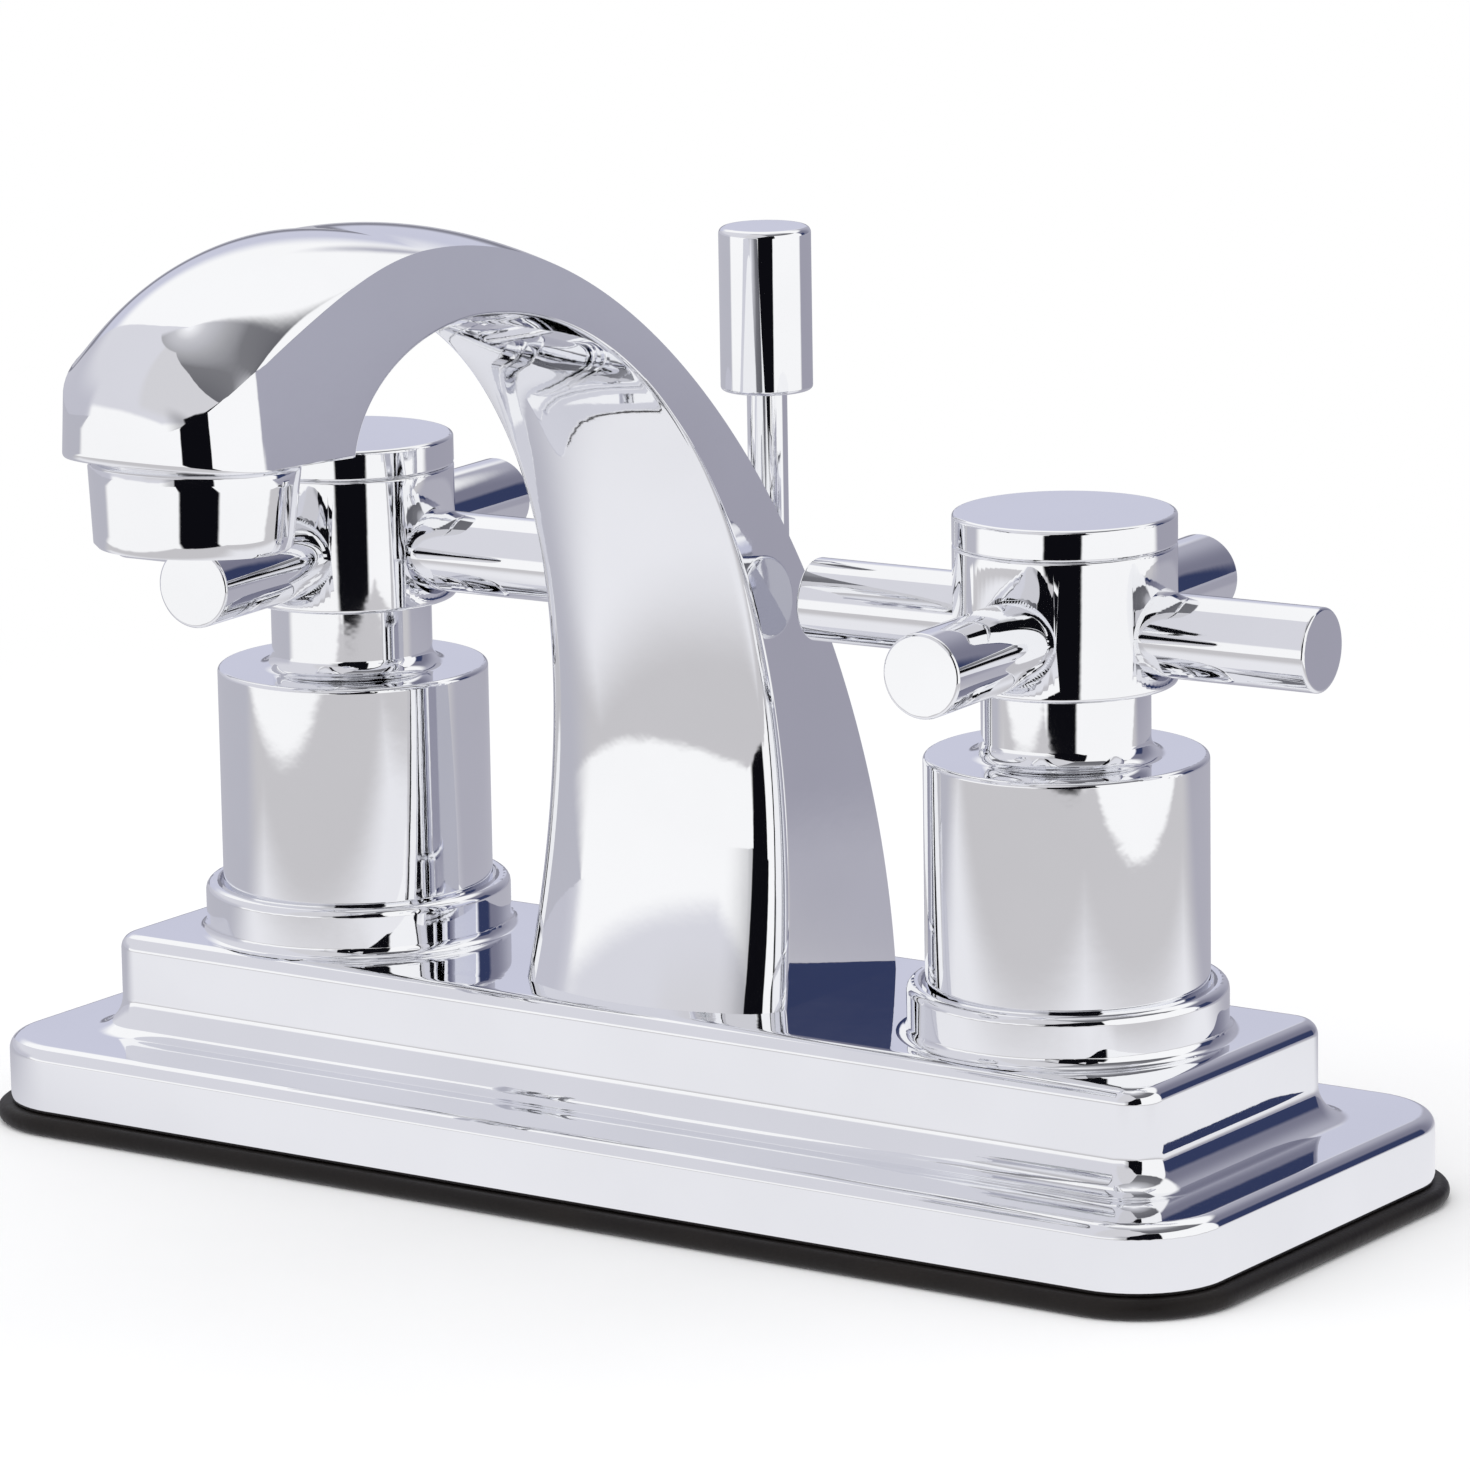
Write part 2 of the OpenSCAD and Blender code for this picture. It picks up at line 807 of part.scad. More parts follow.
module valve_body() {
    color("#b98b3f")
        difference() {
            union() {
                for (side = [-1, 1])
                    at_handle(side) {
                        translate([0, 0, -shank_l])
                            cylinder(h = supply_l, r = supply_r);
                        translate([0, 0, supply_l - shank_l])
                            cylinder(h = shank_l - supply_l + valve_floor, r = shank_r);
                        translate([0, 0, plate_z + 1])
                            cylinder(h = barrel_top - plate_z - 1, r = barrel_r);
                    }
                translate([-handle_x, 0, cross_z])
                    rotate([0, 90, 0])
                        cylinder(h = handle_spacing, r = cross_r);
                translate([0, 0, cross_z - cross_r])
                    cylinder(h = socket_top - cross_z + cross_r, r = socket_out_r);
            }
            for (side = [-1, 1])
                at_handle(side) {
                    translate([0, 0, -shank_l - eps])
                        cylinder(h = shank_l + valve_floor + 1, r = shank_bore_r);
                    translate([0, 0, valve_floor])
                        cylinder(h = barrel_top, r = cartridge_r + seat_gap);
                }
            translate([cartridge_r - handle_x, 0, cross_z])
                rotate([0, 90, 0])
                    cylinder(h = handle_spacing - 2 * cartridge_r, r = cross_bore_r);
            translate([0, 0, stub_foot - hole_gap])
                cylinder(h = socket_top, r = stub_r + seat_gap);
        }
}

module cartridge() {
    color("#c2a05a")
        difference() {
            union() {
                translate([0, 0, fixed_z])
                    cylinder(h = barrel_top - fixed_z, r = cartridge_r);
                translate([0, 0, barrel_top])
                    cylinder(h = hex_h, r = barrel_r + 1, $fn = 6);
                translate([0, 0, barrel_top])
                    cylinder(h = neck_top - barrel_top, r = neck_r);
            }
            translate([0, 0, fixed_z - eps])
                cylinder(h = chamber_top - fixed_z + eps, r = chamber_r);
            translate([0, 0, fixed_z])
                cylinder(h = neck_top, r = stem_r + run_gap);
            // The side port that lets the water on to the spout
            for (side = [-1, 1])
                translate([0, 0, turning_z + disc_h / 2])
                    rotate([0, 90 * side, 0])
                        cylinder(h = cartridge_r + 2, r = side_port_r);
        }
}

module stem() {
    color("#d0b878")
        difference() {
            union() {
                translate([0, 0, stem_foot])
                    cylinder(h = stem_flange_h, r = stem_flange_r);
                translate([0, 0, stem_foot])
                    cylinder(h = spline_z - stem_foot, r = stem_r);
                translate([0, 0, spline_z - 1])
                    cylinder(h = stem_top - spline_z + 1, r = spline_r);
            }
            translate([0, 0, screw_well_z - screw_l - hole_gap])
                cylinder(h = screw_l + 2, r = screw_r + seat_gap);
        }
}

module turning_disc() {
    color("white")
        translate([0, 0, turning_z])
            difference() {
                cylinder(h = disc_h, r = disc_r - hole_gap);
                translate([disc_r / 2, 0, -eps])
                    cylinder(h = disc_h + 2 * eps, r = disc_port_r);
            }
}

module fixed_disc() {
    color("white")
        translate([0, 0, fixed_z])
            difference() {
                cylinder(h = disc_h, r = disc_r);
                translate([0, disc_r / 2, -eps])
                    cylinder(h = disc_h + 2 * eps, r = disc_port_r);
            }
}

module seat_seal() {
    color("#1d1b1a")
        tube(valve_floor, fixed_z, disc_r, shank_bore_r + hole_gap);
}

module plate_nut() {
    color("#b9b7ad")
        nut(recess_z, plate_nut_h, nut_flat_r, barrel_r + seat_gap);
}

module shank_washer() {
    color("#a9a69c")
        tube(-basin_t - washer_t, -basin_t, washer_r, shank_r + seat_gap);
}

module shank_nut() {
    color("#b98b3f")
        nut(-basin_t - washer_t - shank_nut_h, shank_nut_h, shank_nut_r, shank_r + seat_gap);
}

// Bells and handles

module bell() {
    color("#d9dbe4")
        rotate_extrude()
            difference() {
                union() {
                    translate([0, recess_z])
                        square([bell_r, bell_z - recess_z]);
                    translate([0, bell_z - 1])
                        square([collar_r, collar_h + 1]);
                    foot_cove(collar_r, bell_z, collar_cove);
                }
                translate([0, recess_z - eps])
                    square([bell_r - bell_wall, bell_z - recess_z - bell_top_wall]);
                square([neck_r + seat_gap, hub_top]);
                top_corner(bell_r, bell_z, bell_round);
            }
}

module hub() {
    color("#d9dbe4")
        difference() {
            rotate_extrude()
                difference() {
                    translate([0, hub_z])
                        square([hub_r, cap_z - hub_z]);
                    low_corner(hub_r, hub_z, edge_round);
                    top_corner(hub_r, cap_z, hub_seam);
                    translate([0, hub_z - eps])
                        square([hub_socket_r, hub_socket_d]);
                    translate([0, hub_z])
                        square([spline_r + seat_gap, hub_h]);
                    translate([0, hub_z])
                        square([stem_r + hole_gap, spline_z - hub_z + hole_gap]);
                    translate([0, screw_well_z])
                        square([screw_well_r, hub_h]);
                }
            for (i = [0 : 3])
                rotate([0, 0, handle_angle + 90 * i])
                    translate([0, 0, arm_level])
                        rotate([0, 90, 0]) {
                            translate([0, 0, arm_seat])
                                cylinder(h = hub_r, r = arm_r + arm_gap);
                            translate([0, 0, arm_spigot_in - hole_gap])
                                cylinder(h = hub_r, r = arm_spigot_r + seat_gap);
                        }
        }
}

// Arm i of a handle, turned from one rod with a screwed spigot
module arm(i) {
    color("#dcdee6")
        rotate([0, 0, handle_angle + 90 * i])
            translate([0, 0, arm_level])
                rotate([0, 90, 0])
                    rotate_extrude()
                        difference() {
                            union() {
                                translate([0, arm_seat])
                                    square([arm_r, arm_reach - arm_seat]);
                                translate([0, arm_spigot_in])
                                    square([arm_spigot_r, arm_seat]);
                            }
                            top_corner(arm_r, arm_reach, arm_end_round);
                        }
}

module cap() {
    color("#d9dbe4")
        rotate_extrude()
            difference() {
                union() {
                    translate([0, cap_z])
                        square([hub_r, cap_t]);
                    translate([0, cap_z - cap_plug])
                        square([screw_well_r - seat_gap, cap_t]);
                }
                top_corner(hub_r, hub_top, edge_round);
                low_corner(hub_r, cap_z, hub_seam);
                translate([0, cap_z - cap_plug - eps])
                    square([screw_head_r + 4 * hole_gap, cap_plug]);
            }
}

module handle_screw() {
    color("#b9b7ad")
        difference() {
            union() {
                translate([0, 0, screw_well_z])
                    cylinder(h = screw_head_h, r = screw_head_r);
                translate([0, 0, screw_well_z - screw_l])
                    cylinder(h = screw_l + 1, r = screw_r);
            }
            translate([0, 0, screw_well_z + screw_head_h - key_d])
                cylinder(h = key_d + eps, r = key_r, $fn = 6);
        }
}

gasket();
deck_plate();
spout();
spout_screws();
spout_seal();
aerator_housing();
aerator_insert();
aerator_washer();
lift_rod();
lift_knob();
valve_body();
at_handle(-1) bell();  // left_bell
at_handle(1) bell();  // right_bell
at_handle(-1) hub();  // left_hub
at_handle(1) hub();  // right_hub
at_handle(-1) cap();  // left_cap
at_handle(1) cap();  // right_cap
at_handle(-1) arm(0);  // left_arm_1
at_handle(-1) arm(1);  // left_arm_2
at_handle(-1) arm(2);  // left_arm_3
at_handle(-1) arm(3);  // left_arm_4
at_handle(1) arm(0);  // right_arm_1
at_handle(1) arm(1);  // right_arm_2
at_handle(1) arm(2);  // right_arm_3
at_handle(1) arm(3);  // right_arm_4
at_handle(-1) handle_screw();  // left_handle_screw
at_handle(1) handle_screw();  // right_handle_screw
at_handle(-1) stem();  // left_stem
at_handle(1) stem();  // right_stem
at_handle(-1) cartridge();  // left_cartridge
at_handle(1) cartridge();  // right_cartridge
at_handle(-1) turning_disc();  // left_turning_disc
at_handle(1) turning_disc();  // right_turning_disc
at_handle(-1) fixed_disc();  // left_fixed_disc
at_handle(1) fixed_disc();  // right_fixed_disc
at_handle(-1) seat_seal();  // left_seat_seal
at_handle(1) seat_seal();  // right_seat_seal
at_handle(-1) plate_nut();  // left_plate_nut
at_handle(1) plate_nut();  // right_plate_nut
at_handle(-1) shank_washer();  // left_shank_washer
at_handle(1) shank_washer();  // right_shank_washer
at_handle(-1) shank_nut();  // left_shank_nut
at_handle(1) shank_nut();  // right_shank_nut
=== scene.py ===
import json
import math

import bmesh
import bpy
from mathutils import Matrix, Vector


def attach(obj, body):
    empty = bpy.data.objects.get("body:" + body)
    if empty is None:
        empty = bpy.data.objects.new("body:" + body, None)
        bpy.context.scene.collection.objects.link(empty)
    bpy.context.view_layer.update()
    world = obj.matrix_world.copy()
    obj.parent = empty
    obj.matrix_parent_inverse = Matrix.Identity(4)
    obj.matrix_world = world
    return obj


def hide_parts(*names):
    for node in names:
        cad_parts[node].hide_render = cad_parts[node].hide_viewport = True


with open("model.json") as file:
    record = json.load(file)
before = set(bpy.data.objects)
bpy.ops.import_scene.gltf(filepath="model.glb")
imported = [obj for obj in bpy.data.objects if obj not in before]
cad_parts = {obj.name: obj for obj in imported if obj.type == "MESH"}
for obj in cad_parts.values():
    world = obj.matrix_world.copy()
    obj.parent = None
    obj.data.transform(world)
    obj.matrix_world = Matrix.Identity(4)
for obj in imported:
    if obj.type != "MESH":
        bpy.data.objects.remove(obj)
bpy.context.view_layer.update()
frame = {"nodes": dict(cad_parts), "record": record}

MM = 0.001

# Sizes of the faucet in millimetres, as in the part
HANDLE_X = 50.8
DECK_Z = 22.1
FOOT_HALF_W, SIDE_DRAFT = 18.1, 0.072
FOOT_BACK, FOOT_FRONT = 13.9, -12.0
CREST_Y, CREST_H, UNDER_H = 66.0, 96.1, 87.8
HEAD_Z, OUTLET_Y, OUTLET_TILT = DECK_Z + 76.6, 93.2, 3.5
CROWN, BACK_BULGE, FRONT_BULGE, UNDER_BULGE = 2.4, 4.6, 4.6, 1.6
FRONT_EDGE_R = 3.0
NOSE_Y, NOSE_START, LIP_H, BROW_H, BROW_LAG, HEAD_ROUND = 106.4, 95.7, 3.3, 11.1, 0.5, 1.3
ROD_Y = 15.2
OUTLET_BORE_R, OUTLET_BORE_D = 10.24, 7
ROD_BORE_R, ROD_BORE_D = 2.43, 60

# Camera of the photograph
CAMERA_AT = Vector((0.51752, -0.74332, 0.24692))
CAMERA_TURN, CAMERA_DROP, CAMERA_ROLL = math.radians(34.55), math.radians(12.21), math.radians(-0.92)
PHOTO_PX, FOCAL_PX, CENTRE_PX = 1470, 7897.35, (739.1, 735.03)


# Shader expressions

class Value:
    """A number socket that takes part in Python expressions."""

    def __init__(self, finish, socket):
        self.finish, self.socket = finish, socket

    def _math(self, operation, *others):
        inputs = {0: self, **dict(enumerate(others, 1))}
        made = self.finish.add("ShaderNodeMath", {"operation": operation}, inputs)
        return self.finish.value(made)

    def __add__(self, other): return self._math("ADD", other)
    def __radd__(self, other): return self._math("ADD", other)
    def __sub__(self, other): return self._math("SUBTRACT", other)
    def __mul__(self, other): return self._math("MULTIPLY", other)
    def __rmul__(self, other): return self._math("MULTIPLY", other)
    def __truediv__(self, other): return self._math("DIVIDE", other)
    def __pow__(self, other): return self._math("POWER", other)

    def __rsub__(self, other):
        made = self.finish.add("ShaderNodeMath", {"operation": "SUBTRACT"}, {0: other, 1: self})
        return self.finish.value(made)

    def low(self, other): return self._math("MINIMUM", other)
    def high(self, other): return self._math("MAXIMUM", other)
    def size(self): return self._math("ABSOLUTE")

    def share(self, start, end):
        """Straight share of the way from start to end, held between 0 and 1."""
        made = self.finish.add(
            "ShaderNodeMapRange", None, {"Value": self, "From Min": start, "From Max": end})
        return self.finish.value(made, "Result")

    def step(self, start, end, low=0.0, high=1.0):
        """Soft step from low at start to high at end."""
        made = self.finish.add(
            "ShaderNodeMapRange", {"interpolation_type": "SMOOTHSTEP"},
            {"Value": self, "From Min": start, "From Max": end, "To Min": low, "To Max": high})
        return self.finish.value(made, "Result")


class Finish:
    """Builds the nodes of one material or of the world."""

    def __init__(self, tree):
        self.tree = tree
        tree.nodes.clear()

    def add(self, kind, settings=None, inputs=None):
        made = self.tree.nodes.new(kind)
        for key, setting in (settings or {}).items():
            if key == "stops":
                ramp = made.color_ramp
                while len(ramp.elements) < len(setting):
                    ramp.elements.new(0.5)
                for element, (place, colour) in zip(ramp.elements, setting):
                    element.position, element.color = place, (*colour, 1.0)
            else:
                setattr(made, key, setting)
        for key, given in (inputs or {}).items():
            if isinstance(given, Value):
                given = given.socket
            if isinstance(given, bpy.types.NodeSocket):
                self.tree.links.new(given, made.inputs[key])
            else:
                made.inputs[key].default_value = given
        return made

    def value(self, made, output=0):
        return Value(self, made.outputs[output])

    def colour_mix(self, share, first, second, blend="MIX"):
        made = self.add(
            "ShaderNodeMix", {"data_type": "RGBA", "blend_type": blend}, {0: share, 6: first, 7: second})
        return made.outputs[2]

    def place(self):
        return self.add("ShaderNodeTexCoord").outputs["Object"]

    def noise(self, place, scale, detail=3.0, rough=0.5):
        made = self.add(
            "ShaderNodeTexNoise", None,
            {"Vector": place, "Scale": scale, "Detail": detail, "Roughness": rough})
        return self.value(made, "Fac")

    def stretched(self, place, scale):
        return self.add("ShaderNodeMapping", None, {"Vector": place, "Scale": scale}).outputs[0]

    def bump(self, height, strength, distance):
        return self.add(
            "ShaderNodeBump", None,
            {"Height": height, "Strength": strength, "Distance": distance}).outputs[0]

    def surface(self, shader):
        self.add("ShaderNodeOutputMaterial", None, {"Surface": shader})


def new_finish(name):
    material = bpy.data.materials.new(name)
    material.use_nodes = True
    return material, Finish(material.node_tree)


def rgb(r, g, b):
    return (r, g, b, 1.0)


# Materials

def polished_chrome(name, base, waviness=1.0):
    """Plated brass: a mirror with a faint orange peel, hairline rubs and a little haze."""
    material, f = new_finish(name)
    place = f.place()
    haze = f.noise(place, 38, 4)
    rubs = f.noise(f.stretched(place, (90, 90, 900)), 3, 2)
    peel = f.noise(place, 420, 2)
    swell = f.noise(place, 60, 2)
    colour = f.colour_mix(haze.step(0.3, 0.75), rgb(*base), rgb(*(c * 0.965 for c in base)))
    rough = 0.022 + haze.step(0.35, 0.8) * 0.022 + rubs.step(0.62, 0.8) * 0.02
    height = peel * 0.25 + swell * 0.75
    shader = f.add("ShaderNodeBsdfPrincipled", None, {
        "Base Color": colour, "Metallic": 1.0, "Roughness": rough,
        "Normal": f.bump(height, 0.05 * waviness, 0.0004)})
    f.surface(shader.outputs[0])
    return material


def moulded_rubber():
    material, f = new_finish("Moulded rubber")
    place = f.place()
    bloom = f.noise(place, 55, 5, 0.6)
    grain = f.noise(place, 900, 3, 0.6)
    colour = f.colour_mix(bloom.step(0.35, 0.8), rgb(0.006, 0.0042, 0.0036), rgb(0.014, 0.011, 0.0095))
    shader = f.add("ShaderNodeBsdfPrincipled", None, {
        "Base Color": colour, "Specular IOR Level": 0.25, "Roughness": 0.44 + bloom.step(0.3, 0.8) * 0.22,
        "Normal": f.bump(grain, 0.35, 0.0002)})
    f.surface(shader.outputs[0])
    return material


def turned_brass():
    """Bare brass as it comes from the lathe: fine rings, a little tarnish, cut threads on the shanks."""
    material, f = new_finish("Turned brass")
    place = f.place()
    split = f.add("ShaderNodeSeparateXYZ", None, {0: place})
    z = f.value(split, 2)
    tarnish = f.noise(place, 45, 5, 0.65)
    rings = f.noise(f.stretched(place, (4, 4, 2600)), 1, 2)
    thread = (z * (2 * math.pi / 0.0018))._math("SINE") * z.step(-0.001, -0.003)
    colour = f.colour_mix(tarnish.step(0.4, 0.75), rgb(0.66, 0.47, 0.20), rgb(0.42, 0.27, 0.11))
    height = rings * 0.12 + thread * 0.5
    shader = f.add("ShaderNodeBsdfPrincipled", None, {
        "Base Color": colour, "Metallic": 1.0,
        "Roughness": 0.24 + tarnish.step(0.35, 0.8) * 0.22 + rings * 0.06,
        "Normal": f.bump(height, 0.8, 0.0006)})
    f.surface(shader.outputs[0])
    return material


def plated_steel():
    material, f = new_finish("Zinc plated steel")
    place = f.place()
    mottle = f.noise(place, 260, 4, 0.6)
    scratch = f.noise(f.stretched(place, (40, 1400, 40)), 2, 3)
    colour = f.colour_mix(mottle.step(0.35, 0.7), rgb(0.60, 0.60, 0.58), rgb(0.44, 0.45, 0.46))
    shader = f.add("ShaderNodeBsdfPrincipled", None, {
        "Base Color": colour, "Metallic": 1.0, "Roughness": 0.27 + mottle * 0.16,
        "Normal": f.bump(mottle * 0.6 + scratch * 0.4, 0.15, 0.0003)})
    f.surface(shader.outputs[0])
    return material


def ground_ceramic():
    material, f = new_finish("Ground ceramic")
    place = f.place()
    speck = f.noise(place, 1500, 2)
    colour = f.colour_mix(speck.step(0.6, 0.8), rgb(0.86, 0.85, 0.82), rgb(0.70, 0.69, 0.66))
    shader = f.add("ShaderNodeBsdfPrincipled", None, {
        "Base Color": colour, "Roughness": 0.12 + speck * 0.1,
        "Normal": f.bump(speck, 0.08, 0.0001)})
    f.surface(shader.outputs[0])
    return material


def moulded_plastic():
    material, f = new_finish("Pale moulded plastic")
    place = f.place()
    cloud = f.noise(place, 120, 3)
    grain = f.noise(place, 1800, 2)
    colour = f.colour_mix(cloud.step(0.3, 0.7), rgb(0.60, 0.62, 0.64), rgb(0.52, 0.54, 0.57))
    shader = f.add("ShaderNodeBsdfPrincipled", None, {
        "Base Color": colour, "Roughness": 0.38 + cloud * 0.12,
        "Normal": f.bump(grain, 0.2, 0.0001)})
    f.surface(shader.outputs[0])
    return material


CHROME = polished_chrome("Polished chrome", (0.93, 0.935, 0.955))
RUBBER = moulded_rubber()
BRASS = turned_brass()
STEEL = plated_steel()
CERAMIC = ground_ceramic()
PLASTIC = moulded_plastic()
FINISH_OF_SLOT = {
    "bright_chrome": CHROME, "black_rubber": RUBBER, "bare_brass": BRASS,
    "steel": STEEL, "white_ceramic": CERAMIC, "pale_plastic": PLASTIC,
}


# Making pieces

def put(name, mesh, material, body, hides=()):
    """Puts a finished mesh, in metres and in place, on its body."""
    mesh.name = name
    mesh.materials.clear()
    mesh.materials.append(material)
    piece = bpy.data.objects.new(name, mesh)
    bpy.context.scene.collection.objects.link(piece)
    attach(piece, body)
    if hides:
        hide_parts(*hides)
    return piece


def mesh_from(points, faces):
    mesh = bpy.data.meshes.new("made")
    mesh.from_pydata([tuple(c * MM for c in p) for p in points], [], faces)
    return mesh


def tidied(mesh, merge=0.002, recalc=True):
    made = bmesh.new()
    made.from_mesh(mesh)
    bmesh.ops.remove_doubles(made, verts=made.verts, dist=merge * MM)
    if recalc:
        bmesh.ops.recalc_face_normals(made, faces=made.faces)
    made.to_mesh(mesh)
    made.free()
    return mesh


def finished(mesh, modifiers=(), sharp=30):
    """The mesh after its modifiers, smooth but for edges sharper than the angle, flats kept flat."""
    helper = bpy.data.objects.new("helper", mesh)
    bpy.context.scene.collection.objects.link(helper)
    for kind, settings in modifiers:
        modifier = helper.modifiers.new(kind, kind)
        for key, setting in settings.items():
            setattr(modifier, key, setting)
    made = evaluated(helper)
    made.polygons.foreach_set("use_smooth", [True] * len(made.polygons))
    made.set_sharp_from_angle(angle=math.radians(sharp))
    helper = bpy.data.objects.new("helper", made)
    bpy.context.scene.collection.objects.link(helper)
    weighted = helper.modifiers.new("flats", "WEIGHTED_NORMAL")
    weighted.keep_sharp, weighted.weight, weighted.mode = True, 90, "FACE_AREA_WITH_ANGLE"
    return evaluated(helper)


def evaluated(helper):
    """The helper's mesh with its modifiers applied, and the helper removed."""
    bpy.context.view_layer.update()
    seen = helper.evaluated_get(bpy.context.evaluated_depsgraph_get())
    mesh = bpy.data.meshes.new_from_object(seen)
    bpy.data.objects.remove(helper)
    return mesh


def cad_copy(node, sharp=30, bevel=0.0):
    """A merged, smooth-shaded copy of a CAD node's mesh."""
    mesh = tidied(frame["nodes"][node].data.copy(), recalc=False)
    modifiers = []
    if bevel:
        modifiers.append(("BEVEL", {
            "width": bevel * MM, "segments": 3, "limit_method": "ANGLE",
            "angle_limit": math.radians(40), "use_clamp_overlap": True}))
    return finished(mesh, modifiers, sharp)


# Spout

def bezier(p, t):
    s = 1 - t
    weights = (s ** 3, 3 * t * s * s, 3 * t * t * s, t ** 3)
    return sum((p[i] * w for i, w in enumerate(weights)), Vector((0, 0)))


def half_width(z):
    return FOOT_HALF_W - SIDE_DRAFT * (z - DECK_Z)


def head_plane(y):
    return HEAD_Z - math.tan(math.radians(OUTLET_TILT)) * (y + OUTLET_Y)


def yz(*points):
    return [Vector(p) for p in points]


CREST = DECK_Z + CREST_H
THROAT_Y, THROAT_BACK = CREST_Y - 8, -OUTLET_Y + 11.9
BACK_CURVE = yz((FOOT_BACK, DECK_Z), (FOOT_BACK + 1.1, DECK_Z + 0.477 * CREST_H),
                (-CREST_Y / 3, CREST), (-CREST_Y, CREST))
BROW_CURVE = yz((-CREST_Y, CREST), (-CREST_Y - 10, CREST), (-NOSE_START + 10, CREST - 4.4),
                (-NOSE_START, head_plane(-NOSE_START) + BROW_H))
FRONT_CURVE = yz((FOOT_FRONT, DECK_Z), (FOOT_FRONT + 13, DECK_Z + 0.56 * UNDER_H),
                 (FOOT_FRONT - 9, DECK_Z + UNDER_H - 1.2), (-THROAT_Y, DECK_Z + UNDER_H))
THROAT_CURVE = yz((-THROAT_Y, DECK_Z + UNDER_H), (-THROAT_Y - 12, DECK_Z + UNDER_H),
                  (THROAT_BACK + 2, head_plane(THROAT_BACK) + 6.5), (THROAT_BACK, head_plane(THROAT_BACK)))
RIDGE_START = BACK_CURVE[3] + CROWN * (BACK_CURVE[3] - FRONT_CURVE[3]).normalized()
RIDGE_CURVE = [RIDGE_START] + yz((-CREST_Y - 15, CREST + CROWN + 1.7), (-NOSE_Y - 0.8, CREST + 1.2),
                                 (-NOSE_Y, head_plane(-NOSE_Y) + LIP_H))


def across(i, n):
    return math.sin(math.radians(90 * (2 * i / n - 1)))


def front_points(front, back, along, cuts):
    way = (back - front).normalized()
    w = half_width(front.y)
    sag = FRONT_BULGE + (UNDER_BULGE - FRONT_BULGE) * min(1, along * 1.4)
    r = FRONT_EDGE_R * max(0.15, 1 - along * 1.4)
    made = []
    for i in range(cuts + 1):
        k = across(i, cuts)
        x = abs(k * w)
        fall = 0 if x <= w - r else r - math.sqrt(max(0, r * r - (x - w + r) ** 2))
        p = front + way * (fall - sag * (1 - k * k))
        made.append((k * half_width(p.y), p.x, p.y))
    return made


def top_points(edge, middle, m, cuts):
    made = []
    for i in range(cuts + 1):
        k = -across(i, cuts)
        swell = max(0, 1 - abs(k) ** (2 + 0.4 * m)) ** (1 - 0.583 * m)
        y = edge.x + (middle.x - edge.x) * swell
        z = edge.y + (middle.y - edge.y) * swell ** (1 + BROW_LAG * m)
        made.append((k * half_width(z), y, z))
    return made


def nose_points(h, inset, cuts):
    return top_points(Vector((-NOSE_START, head_plane(-NOSE_START) + h * 0.1)),
                      Vector((-NOSE_Y + inset, head_plane(-NOSE_Y) + h)), 1, cuts)


def spout_rings(column, head, lip, front_cuts, top_cuts):
    """The cast spout's rings: up the column, over the head, down the nose's wall and round its lower edge."""
    rings = []
    for j in range(column + 1):
        t = j / column
        front, back = bezier(FRONT_CURVE, t), bezier(BACK_CURVE, t)
        middle = back + (back - front).normalized() * (BACK_BULGE + (CROWN - BACK_BULGE) * min(1, t * 2))
        rings.append(front_points(front, back, t, front_cuts) + top_points(back, middle, 0, top_cuts))
    for n in range(1, head + 1):
        # closer together towards the nose, where the top turns down
        t = 1 - (1 - n / head) ** 1.25
        front, back = bezier(THROAT_CURVE, 0.985 * n / head), bezier(BROW_CURVE, t)
        rings.append(front_points(front, back, 1, front_cuts)
                     + top_points(back, bezier(RIDGE_CURVE, t), t * t, top_cuts))
    for n in range(lip + 1):
        fade = 90 * (1 - n / lip)
        h = HEAD_ROUND * (1 - math.cos(math.radians(fade)))
        inset = HEAD_ROUND * (1 - math.sin(math.radians(fade)))
        u = 0.985 + 0.015 * (n + 1) / (lip + 1)
        rings.append(front_points(bezier(THROAT_CURVE, u), BROW_CURVE[3], 1, front_cuts)
                     + nose_points(h, inset, top_cuts))
    return rings


def drill(mesh, place, axis, r, depth):
    """Cuts a round hole that starts at place and runs along axis."""
    tool = bmesh.new()
    turn = Vector((0, 0, 1)).rotation_difference(Vector(axis)).to_matrix().to_4x4()
    bmesh.ops.create_cone(tool, cap_ends=True, segments=96, radius1=r * MM, radius2=r * MM, depth=depth * MM,
                          matrix=(Matrix.Translation(Vector(place) * MM) @ turn
                                  @ Matrix.Translation((0, 0, depth * MM / 2))))
    bit_mesh = bpy.data.meshes.new("bit")
    tool.to_mesh(bit_mesh)
    tool.free()
    bit = bpy.data.objects.new("bit", bit_mesh)
    bpy.context.scene.collection.objects.link(bit)
    helper = bpy.data.objects.new("helper", mesh)
    bpy.context.scene.collection.objects.link(helper)
    cut = helper.modifiers.new("cut", "BOOLEAN")
    cut.object, cut.operation, cut.solver = bit, "DIFFERENCE", "EXACT"
    made = evaluated(helper)
    bpy.data.objects.remove(bit)
    return made


